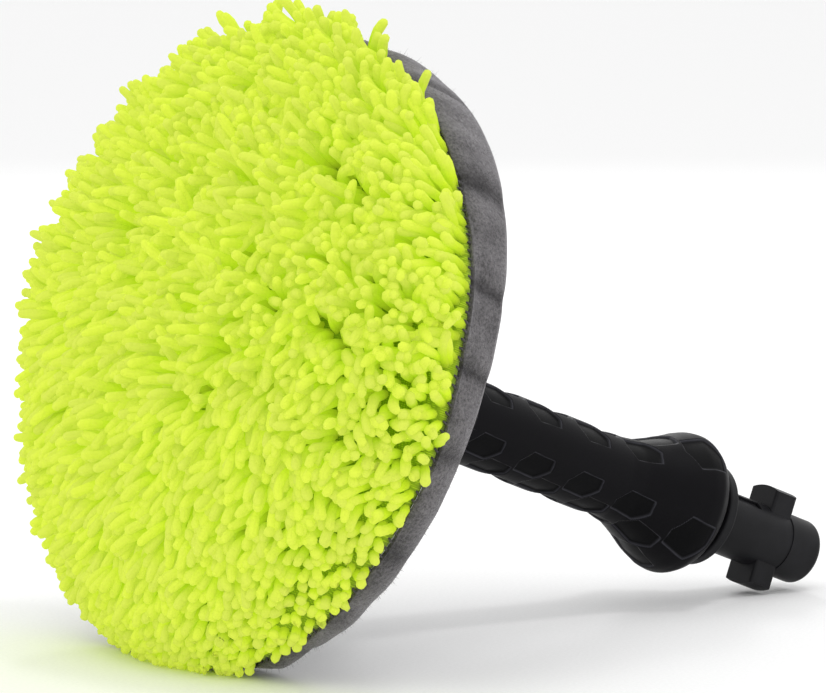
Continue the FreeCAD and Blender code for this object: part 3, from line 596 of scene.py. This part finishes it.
class WASHBRUSH_OT_base_cloth(bpy.types.Operator):
    """Woven base cloth under the tufts"""
    bl_idname = "washbrush.base_cloth"
    bl_label = "Base Cloth"

    def execute(self, context):
        settings = context.scene.wash_bonnet
        bm = spun([(part, 0.0) for part in np.linspace(0.0, 1.0, 33)], 144)
        layer = bm.loops.layers.uv.new("weave")
        for vert in bm.verts:
            part = math.hypot(vert.co.x, vert.co.y)
            turn = math.atan2(vert.co.y, vert.co.x)
            vert.co = face_points(np.float64(part), np.float64(turn), settings)
        for face in bm.faces:
            for loop in face.loops:
                loop[layer].uv = (loop.vert.co.x, loop.vert.co.y)
        cloth = woven_cloth("woven_base_cloth", "#B4D422", "#7E9C12", 0.6)
        piece = settle("base_cloth", bm, cloth, "mop_head", "bonnet_backing")
        thick = piece.modifiers.new("cloth_thickness", "SOLIDIFY")
        thick.thickness = 0.0008
        return {"FINISHED"}


class WASHBRUSH_OT_chenille(bpy.types.Operator):
    """Chenille tufts that lean outwards and hang with their weight"""
    bl_idname = "washbrush.chenille"
    bl_label = "Chenille Tufts"

    def execute(self, context):
        settings = context.scene.wash_bonnet
        lines, tones, rng = tuft_lines(settings)
        lines = off_the_floor(lines, settings.tuft_width * 0.56)
        material = chenille_yarn(settings.tuft_colour)
        shape = tuft_shape()
        for number, chosen in enumerate(np.array_split(np.arange(len(lines)), 3), 1):
            piece = tuft_piece(f"chenille_tufts_{number}", shape, lines[chosen], tones[chosen], material,
                               settings, rng)
            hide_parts("chenille_pile")
        bpy.data.meshes.remove(shape)
        return {"FINISHED"}


def band_points(part, turn, settings):
    """Points of the plush band: part runs from 0 at the seam to 1 at the hem."""
    edge, height = seam_line(turn, settings)
    edge = edge + 0.8
    far_height = rear_height(turn) - 4.0
    hem = hem_height(turn)
    full = np.maximum(94.4 - 6.0 * np.cos(turn), 93.5)
    radius = (edge * (1 - part) ** 3 + 3 * full * part * (1 - part) ** 2 + 3 * full * part ** 2 * (1 - part)
              + HEM_RADIUS * part ** 3)
    first = height + np.maximum(2.0, 0.35 * (far_height - height))
    second = np.maximum(far_height, hem - 9.0)
    reach = (height * (1 - part) ** 3 + 3 * first * part * (1 - part) ** 2
             + 3 * second * part ** 2 * (1 - part) + hem * part ** 3)
    pucker = 0.35 * np.sin(turn * 23 + 1.5 * np.sin(turn * 3)) + 0.25 * np.sin(turn * 41 + 2.0)
    radius = radius + (pucker - 1.1 * creases(turn)) * np.maximum(np.sin(math.pi * part), 0.0) ** 0.6
    points = np.stack([radius * np.cos(turn), radius * np.sin(turn), reach], axis=-1)
    return off_the_floor(points, 4.2)


def creases(turn):
    """Soft cross folds of the band, about 32 mm apart: 1 at the bottom of a fold and 0 between folds."""
    return np.exp(-((np.sin(turn * 9.5 + 0.8 * np.sin(turn * 4) + 0.9) / 0.3) ** 2))


def rear_height(turn):
    """Height of the bonnet's rear edge if it hung free: tilted, and further back at the sides."""
    return 5.4 - 14.0 * np.cos(turn) + 7.5 * np.maximum(np.sin(turn), 0.3 * np.abs(np.sin(turn)))


def hem_height(turn):
    """Where the hem starts: never ahead of the plate's back, and further back low down."""
    return np.logaddexp(rear_height(turn) / HEM_BLEND, HEM_FRONT / HEM_BLEND) * HEM_BLEND


class WASHBRUSH_OT_plush_band(bpy.types.Operator):
    """Plush band round the rim, with its standing hairs"""
    bl_idname = "washbrush.plush_band"
    bl_label = "Plush Band"

    def execute(self, context):
        settings = context.scene.wash_bonnet
        bm = spun([(1.0 + part, 0.0) for part in np.linspace(0.0, 1.0, 23)], 480)
        for vert in bm.verts:
            part = math.hypot(vert.co.x, vert.co.y) - 1.0
            turn = math.atan2(vert.co.y, vert.co.x)
            vert.co = band_points(np.float64(max(part, 0.0)), np.float64(turn), settings)
        bmesh.ops.recalc_face_normals(bm, faces=bm.faces)
        velvet = plush_velvet(settings.plush_colour)
        # Painted shade: how deep in a fold each point lies, kept for darkening the plush there.
        painted_fold_shades = [float(creases(math.atan2(vert.co.y, vert.co.x))) for vert in bm.verts]
        piece = settle("plush_band", bm, velvet, "mop_head", "side_band")
        keep(piece, "painted_fold_shade", painted_fold_shades)
        thick = piece.modifiers.new("cloth_thickness", "SOLIDIFY")
        thick.thickness = 0.0012
        hairs = self.hairs(settings, velvet)
        return {"FINISHED"}

    def hairs(self, settings, material):
        """Stray hairs that stand off the plush and soften its outline, one thin triangle each."""
        rng = np.random.default_rng(5)
        count = HAIR_COUNT
        part = rng.uniform(0.0, 0.97, size=count)
        turn = rng.uniform(0.0, 2 * math.pi, size=count)
        base = band_points(part, turn, settings)
        ahead = band_points(np.clip(part + 0.02, 0, 1), turn, settings)
        along = ahead - band_points(np.clip(part - 0.02, 0, 1), turn, settings)
        across = band_points(part, turn + 0.01, settings) - band_points(part, turn - 0.01, settings)
        normal = np.cross(across, along)
        normal /= np.linalg.norm(normal, axis=1)[:, None]
        radial = np.stack([np.cos(turn), np.sin(turn), np.zeros(count)], axis=1)
        normal *= np.sign(np.sum(normal * radial, axis=1))[:, None]
        length = settings.plush_pile * rng.gamma(5.0, 0.2, size=count)[:, None]
        tip = base + normal * length + rng.normal(scale=0.4, size=(count, 3))
        wide = np.cross(normal, rng.normal(size=(count, 3)))
        wide *= 0.08 / np.linalg.norm(wide, axis=1)[:, None]
        bm = bmesh.new()
        triangle = bpy.data.meshes.new("hair_shape")
        bmesh.ops.create_circle(bm, cap_ends=True, radius=1.0, segments=3)
        bm.to_mesh(triangle)
        bm.free()
        piece = settle("plush_hairs", copies(triangle, count), material, "mop_head")
        bpy.data.meshes.remove(triangle)
        place(piece, off_the_floor(np.stack([base - wide, base + wide, tip], axis=1).reshape(-1, 3), 0.05))
        # Painted shade of the folds on the hairs, less on some hairs at random.
        keep(piece, "painted_fold_shade", np.repeat(creases(turn) - rng.uniform(0, 0.9, count), 3))
        return piece


class WASHBRUSH_OT_hem(bpy.types.Operator):
    """Gathered elastic hem behind the band, and the stitches of the seam"""
    bl_idname = "washbrush.hem"
    bl_label = "Hem and Seam"

    def execute(self, context):
        self.hem()
        self.stitches(context.scene.wash_bonnet)
        return {"FINISHED"}

    def hem(self):
        """Folded hem: a flattened tube with a gather every few millimetres."""
        profile = [(1.0 + 0.5 * math.cos(2 * math.pi * step / 16), 0.5 * math.sin(2 * math.pi * step / 16))
                   for step in range(17)]
        bm = spun([(90 + radius, height) for radius, height in profile], 720)
        start = np.array([vert.co[:] for vert in bm.verts])
        turn = np.arctan2(start[:, 1], start[:, 0])
        out = (np.hypot(start[:, 0], start[:, 1]) - 91.0) * 2
        gather = (0.6 * np.sin(turn * 74 + 1.3 * np.sin(turn * 9))
                  + 0.3 * np.sin(turn * 131 + 2 * np.sin(turn * 5)))
        low = np.maximum(0.0, -np.cos(turn - 0.25)) ** 4
        radius = HEM_RADIUS - 5.2 + 3.0 * low + out * (2.3 + 0.4 * gather) + 0.2 * gather
        height = (hem_height(turn) + 0.9 - 1.5 * low + start[:, 2] * (3.8 + 0.5 * gather)
                  + 0.25 * np.sin(turn * 6))
        points = off_the_floor(np.stack([radius * np.cos(turn), radius * np.sin(turn), height], axis=-1), 0.3)
        for vert, point in zip(bm.verts, points):
            vert.co = point
        layer = bm.loops.layers.uv.new("weave")
        for face in bm.faces:
            for loop in face.loops:
                turn = math.atan2(loop.vert.co.y, loop.vert.co.x)
                loop[layer].uv = (turn * 90, loop.vert.co.z * 2)
        elastic = woven_cloth("woven_elastic", "#1E1D20", "#0A0A0B", 0.8)
        settle("gathered_hem", bm, elastic, "mop_head", "elastic_hem")

    def stitches(self, settings):
        """Overlocked thread along the seam, a short slanting bar every 2.6 mm."""
        shape_mesh = tuft_shape()
        thread = grainy_plastic("polyester_thread", "#4B484C", "#5E5B60", 0.7, 0.25, 0.0004, 0.0002)
        piece = settle("seam_stitches", copies(shape_mesh, STITCH_COUNT), thread, "mop_head")
        turn = np.arange(STITCH_COUNT) / STITCH_COUNT * 2 * math.pi
        low = face_points(np.full(STITCH_COUNT, 0.985), turn, settings)
        high = band_points(np.full(STITCH_COUNT, 0.09), turn + 0.012, settings)
        reach = np.linspace(0.0, 1.0, TUFT_STEPS + 1)[None, :, None]
        bow = np.stack([np.cos(turn), np.sin(turn), np.zeros(STITCH_COUNT)], axis=1)[:, None, :]
        lines = low[:, None, :] * (1 - reach) + high[:, None, :] * reach + bow * np.sin(math.pi * reach)
        shape = np.array([vert.co[:] for vert in shape_mesh.vertices])
        lumps = np.zeros((STITCH_COUNT, TUFT_STEPS + 1))
        place(piece, bent(shape, lines, np.full(STITCH_COUNT, 0.75), lumps))
        bpy.data.meshes.remove(shape_mesh)


# Handle -----------------------------------------------------------------------------------------

def grip_radius(height):
    """Outside radius of the grip at a height along the axis, cells left out."""
    heights = [spot for spot, _ in BULB_LINE]
    radii = [GRIP_RADIUS + (23.0 - GRIP_RADIUS) * swell for _, swell in BULB_LINE]
    fine = np.linspace(142.0, 178.6, 400)
    rough = np.interp(fine, heights, radii)
    kernel = np.hanning(41)
    beyond = rough[-1] + (rough[-1] - rough[-2]) * np.arange(1, 21)
    padded = np.concatenate([np.full(20, rough[0]), rough, beyond])
    soft = np.convolve(padded, kernel / kernel.sum(), mode="valid")
    return np.where(height <= 142.0, GRIP_RADIUS, np.interp(height, fine, soft))


def cell_spots():
    """(angle, height, side) of every honeycomb cell: mirrored rows on both sides of a smooth band."""
    spots = []
    for side in (1, -1):
        for row in range(ROWS_EACH_WAY):
            angle = math.radians(BAND_ANGLE + side * (FIRST_ROW + ROW_ANGLE * row))
            height = FIRST_CELL + (CELL_SHIFT * row) % CELL_PITCH
            while height < LAST_CELL:
                if height > GRIP_START + 7.0:
                    spots.append((angle, height, -side))
                height += CELL_PITCH
    return spots


def cell_depth(turn, height, edge):
    """How far into a cell each point lies, from 0 outside to 1 on the floor of a cell."""
    deepest = np.full(turn.shape, -10.0)
    corners = np.array(CELL_CORNERS)
    for angle, centre, side in cell_spots():
        offset = (turn - angle + math.pi) % (2 * math.pi) - math.pi
        near = (np.abs(offset) < 0.6) & (np.abs(height - centre) < 8.0)
        along = (height[near] - centre) / CELL_SCALE
        across = np.tan(offset[near]) * GRIP_RADIUS / (CELL_SCALE * side)
        inside = np.full(along.shape, 10.0)
        for first, second in zip(corners, np.roll(corners, -1, axis=0)):
            run = second - first
            run = run / np.linalg.norm(run)
            distance = (along - first[0]) * run[1] - (across - first[1]) * run[0]
            inside = np.minimum(inside, distance)
        deepest[near] = np.maximum(deepest[near], inside)
    return smooth_step(-edge / 2, edge / 2, deepest)


class WASHBRUSH_OT_grip(bpy.types.Operator):
    """Rubber grip with recessed honeycomb cells between smooth bands"""
    bl_idname = "washbrush.grip"
    bl_label = "Grip"

    def execute(self, context):
        settings = context.scene.wash_handle
        heights = np.linspace(GRIP_START + 0.6, GRIP_END - 0.5, 270)
        outer = [(float(grip_radius(height)), float(height)) for height in heights]
        profile = [(GRIP_BORE, GRIP_START), (GRIP_RADIUS - 0.7, GRIP_START),
                   (GRIP_RADIUS - 0.2, GRIP_START + 0.2)]
        profile += outer
        last = outer[-1][0]
        profile += [(last - 0.5, GRIP_END - 0.1), (last - 1.2, GRIP_END), (GRIP_BORE, GRIP_END),
                    (GRIP_BORE, GRIP_START)]
        bm = spun(profile, 270)
        verts = list(bm.verts)
        points = np.array([vert.co[:] for vert in verts])
        radius = np.hypot(points[:, 0], points[:, 1])
        turn = np.arctan2(points[:, 1], points[:, 0])
        skin = radius > GRIP_BORE + 0.5
        depth = cell_depth(turn, points[:, 2], settings.cell_edge) * settings.cell_depth * skin
        scale = (radius - depth) / radius
        for vert, factor in zip(verts, scale):
            vert.co.x *= factor
            vert.co.y *= factor
        rubber = grip_rubber(settings.grip_colour)
        piece = settle("honeycomb_grip", bm, rubber, "handle", "grip_sleeve")
        # How deep into a cell each point lies, kept for the painted shade and highlights of the cells.
        keep(piece, "cell", depth / settings.cell_depth)
        return {"FINISHED"}


class WASHBRUSH_OT_finishes(bpy.types.Operator):
    """Finishes of the moulded, rubber and metal parts"""
    bl_idname = "washbrush.finishes"
    bl_label = "Finishes"

    def execute(self, context):
        # ABS, moulded with a fine spark-eroded grain: matt black that goes grey where it is rubbed.
        abs_black = grainy_plastic("black_abs", "#1B1B1D", "#2A2A2C", 0.55, 0.35, 0.0005, 0.0002)
        # Glass-filled nylon: black with a dry, slightly sparkling skin.
        nylon_black = grainy_plastic("glass_filled_nylon", "#151517", "#202023", 0.42, 0.14, 0.00035,
                                     0.0002, 0.2)
        # Glass-filled nylon left its natural grey: dull, with a coarser skin.
        nylon_grey = grainy_plastic("grey_nylon", "#77787A", "#8C8D8F", 0.55, 0.4, 0.0006, 0.0002)
        # Acetal: off-white, waxy and smooth.
        acetal = grainy_plastic("white_acetal", "#E4E2DA", "#F1F0EA", 0.32, 0.5, 0.0008, 0.0001)
        waxy = acetal.node_tree.nodes["Principled BSDF"]
        waxy.inputs["Subsurface Weight"].default_value = 0.15
        waxy.inputs["Subsurface Scale"].default_value = 0.002
        # Nitrile rubber: black, dull, a little greasy.
        nitrile = grainy_plastic("nitrile_rubber", "#141414", "#1D1D1D", 0.6, 0.3, 0.0006, 0.0001)
        steel = turned_metal("stainless_steel", "#C9C9C6", "#A9A9A7", 0.28, 0.0004)
        bronze = turned_metal("sintered_bronze", "#B08A52", "#8A673A", 0.48, 0.0006)
        finishes = {
            "black_abs": abs_black, "black_nylon": nylon_black, "grey_nylon": nylon_grey, "acetal": acetal,
            "seal_rubber": nitrile, "stainless_steel": steel, "sintered_bronze": bronze,
        }
        for entry in frame["record"]["subparts"]:
            if entry["material_slot"] in finishes:
                mesh = NODES[entry["node"]].data
                mesh.materials.clear()
                mesh.materials.append(finishes[entry["material_slot"]])
        return {"FINISHED"}


# Stage ------------------------------------------------------------------------------------------

class WASHBRUSH_OT_stage(bpy.types.Operator):
    """Pale flat floor, soft lights and the camera"""
    bl_idname = "washbrush.stage"
    bl_label = "Stage"

    def execute(self, context):
        scene = context.scene
        self.floor(scene)
        self.camera(scene)
        self.light(scene, "key_light", (-1.1, -0.6, 1.6), (0.0, 0.0, 0.1), 0.8, 2.5)
        self.light(scene, "top_light", (0.25, -0.35, 1.35), (0.05, 0.0, 0.05), 0.22, 2.2)
        self.light(scene, "back_light", (0.9, 1.2, 0.9), (0.05, 0.0, 0.05), 0.3, 4.0)
        world = bpy.data.worlds.new("soft_daylight")
        world.use_nodes = True
        world.node_tree.nodes["Background"].inputs["Color"].default_value = linear("#FFFFFF")
        world.node_tree.nodes["Background"].inputs["Strength"].default_value = 1.0
        scene.world = world
        scene.view_settings.view_transform = "Standard"
        return {"FINISHED"}

    def floor(self, scene):
        """Flat sheet of studio paper, 16 m across."""
        bm = bmesh.new()
        bmesh.ops.create_grid(bm, x_segments=20, y_segments=20, size=8.0)
        mesh = bpy.data.meshes.new("floor_sweep")
        bm.to_mesh(mesh)
        bm.free()
        mesh.shade_smooth()
        # Matt studio paper: near white, a barely seen fibre in it.
        material, tree, shader, where = blank("studio_paper")
        fibre = add(tree, "ShaderNodeTexNoise", {"Vector": where}, values={"Scale": 900.0, "Detail": 3.0})
        skin = add(tree, "ShaderNodeValToRGB", {"Fac": fibre.outputs["Fac"]},
                   stops=[(0.3, linear("#F4F4F4")), (0.7, linear("#FAFAFA"))])
        tree.links.new(skin.outputs["Color"], shader.inputs["Base Color"])
        shader.inputs["Roughness"].default_value = 0.9
        shader.inputs["Specular IOR Level"].default_value = 0.1
        mesh.materials.append(material)
        floor = bpy.data.objects.new("floor_sweep", mesh)
        scene.collection.objects.link(floor)

    def camera(self, scene):
        turn = math.radians(36.4)
        rise = math.radians(6.3)
        right = Vector((math.cos(turn), -math.sin(turn), 0.0))
        ahead = Vector((math.sin(turn) * math.cos(rise), math.cos(turn) * math.cos(rise), -math.sin(rise)))
        top = right.cross(ahead)
        far = 1.485
        data = bpy.data.cameras.new("long_lens")
        data.lens = 218.0
        data.sensor_width = 36.0
        data.clip_end = 50.0
        camera = bpy.data.objects.new("long_lens", data)
        scene.collection.objects.link(camera)
        # The seam's middle stands left of the middle of the view, by these shares of its width.
        width = far * data.sensor_width / data.lens
        spot = SEAM_CENTRE - far * ahead + width * (0.1864 * right - 0.0093 * top)
        camera.matrix_world = Matrix.Translation(spot) @ Matrix((right, top, -ahead)).transposed().to_4x4()
        scene.camera = camera

    def light(self, scene, name, spot, aim, size, power):
        data = bpy.data.lights.new(name, "AREA")
        data.size = size
        data.energy = power
        lamp = bpy.data.objects.new(name, data)
        scene.collection.objects.link(lamp)
        lamp.location = spot
        lamp.rotation_euler = (Vector(aim) - Vector(spot)).to_track_quat("-Z", "Y").to_euler()


# Add-on -----------------------------------------------------------------------------------------

class WASHBRUSH_PT_panel(bpy.types.Panel):
    """Steps that build the wash brush"""
    bl_idname = "WASHBRUSH_PT_panel"
    bl_label = "Wash Brush"
    bl_space_type = "VIEW_3D"
    bl_region_type = "UI"
    bl_category = "Wash Brush"

    def draw(self, context):
        layout = self.layout
        for name in ("tuft_count", "tuft_length", "tuft_width", "seam_tilt", "seam_sag", "plush_pile",
                     "tuft_colour", "plush_colour"):
            layout.prop(context.scene.wash_bonnet, name)
        for name in ("cell_depth", "cell_edge", "grip_colour"):
            layout.prop(context.scene.wash_handle, name)
        for step in STEPS:
            layout.operator(step.bl_idname)


STEPS = (
    WASHBRUSH_OT_stage,
    WASHBRUSH_OT_foam,
    WASHBRUSH_OT_chenille,
    WASHBRUSH_OT_base_cloth,
    WASHBRUSH_OT_hem,
    WASHBRUSH_OT_plush_band,
    WASHBRUSH_OT_grip,
    WASHBRUSH_OT_finishes,
)
CLASSES = (BonnetSettings, HandleSettings) + STEPS + (WASHBRUSH_PT_panel,)


def register():
    for cls in CLASSES:
        bpy.utils.register_class(cls)
    bpy.types.Scene.wash_bonnet = PointerProperty(type=BonnetSettings)
    bpy.types.Scene.wash_handle = PointerProperty(type=HandleSettings)


def unregister():
    del bpy.types.Scene.wash_handle
    del bpy.types.Scene.wash_bonnet
    for cls in reversed(CLASSES):
        bpy.utils.unregister_class(cls)


def main():
    register()
    bpy.ops.washbrush.stage()
    bpy.ops.washbrush.foam()
    bpy.ops.washbrush.chenille()
    bpy.ops.washbrush.base_cloth()
    bpy.ops.washbrush.hem()
    bpy.ops.washbrush.plush_band()
    bpy.ops.washbrush.grip()
    bpy.ops.washbrush.finishes()


if __name__ == "__main__":
    main()
